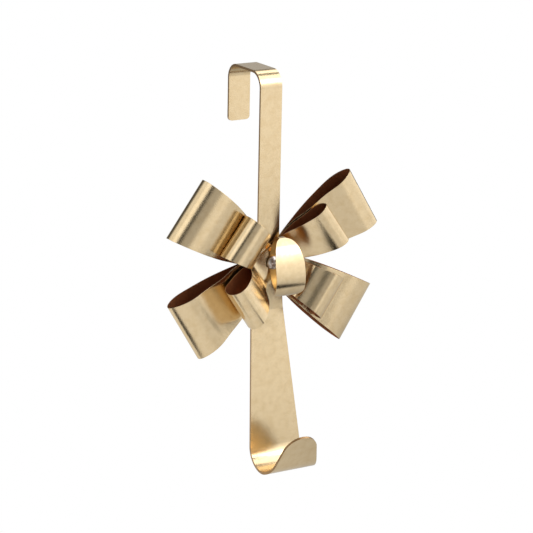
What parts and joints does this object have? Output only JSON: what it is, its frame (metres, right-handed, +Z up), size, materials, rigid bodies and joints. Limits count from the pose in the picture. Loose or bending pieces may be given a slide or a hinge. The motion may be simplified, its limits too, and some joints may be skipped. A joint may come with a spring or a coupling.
{
  "type": "over-the-door wreath hanger",
  "caption": "Bent metal strap that hooks over the top of a door, with a bow of looped metal ribbons on its front and a wide curled hook below for a wreath.",
  "frame": {"origin": "middle of the underside of the roof, where the hanger sits on the door's top edge", "axes": "+Z up, -Y out of the door's front face towards the bow and the wreath hook, +X across the strap"},
  "size_m": [0.1877, 0.1101, 0.3116],
  "materials": {
    "antique_gold_leaf": "antique champagne-gold leaf over steel sheet, semi-gloss",
    "zinc_plated_steel": "zinc-plated steel, bright"
  },
  "bodies": {
    "root": {"hanger_strap": "antique_gold_leaf", "large_ribbon_falling": "antique_gold_leaf", "large_ribbon_rising": "antique_gold_leaf", "small_ribbon_falling": "antique_gold_leaf", "small_ribbon_rising": "antique_gold_leaf", "centre_knot": "antique_gold_leaf", "bow_screw": "zinc_plated_steel", "screw_nut": "zinc_plated_steel"}
  },
  "joints": []
}
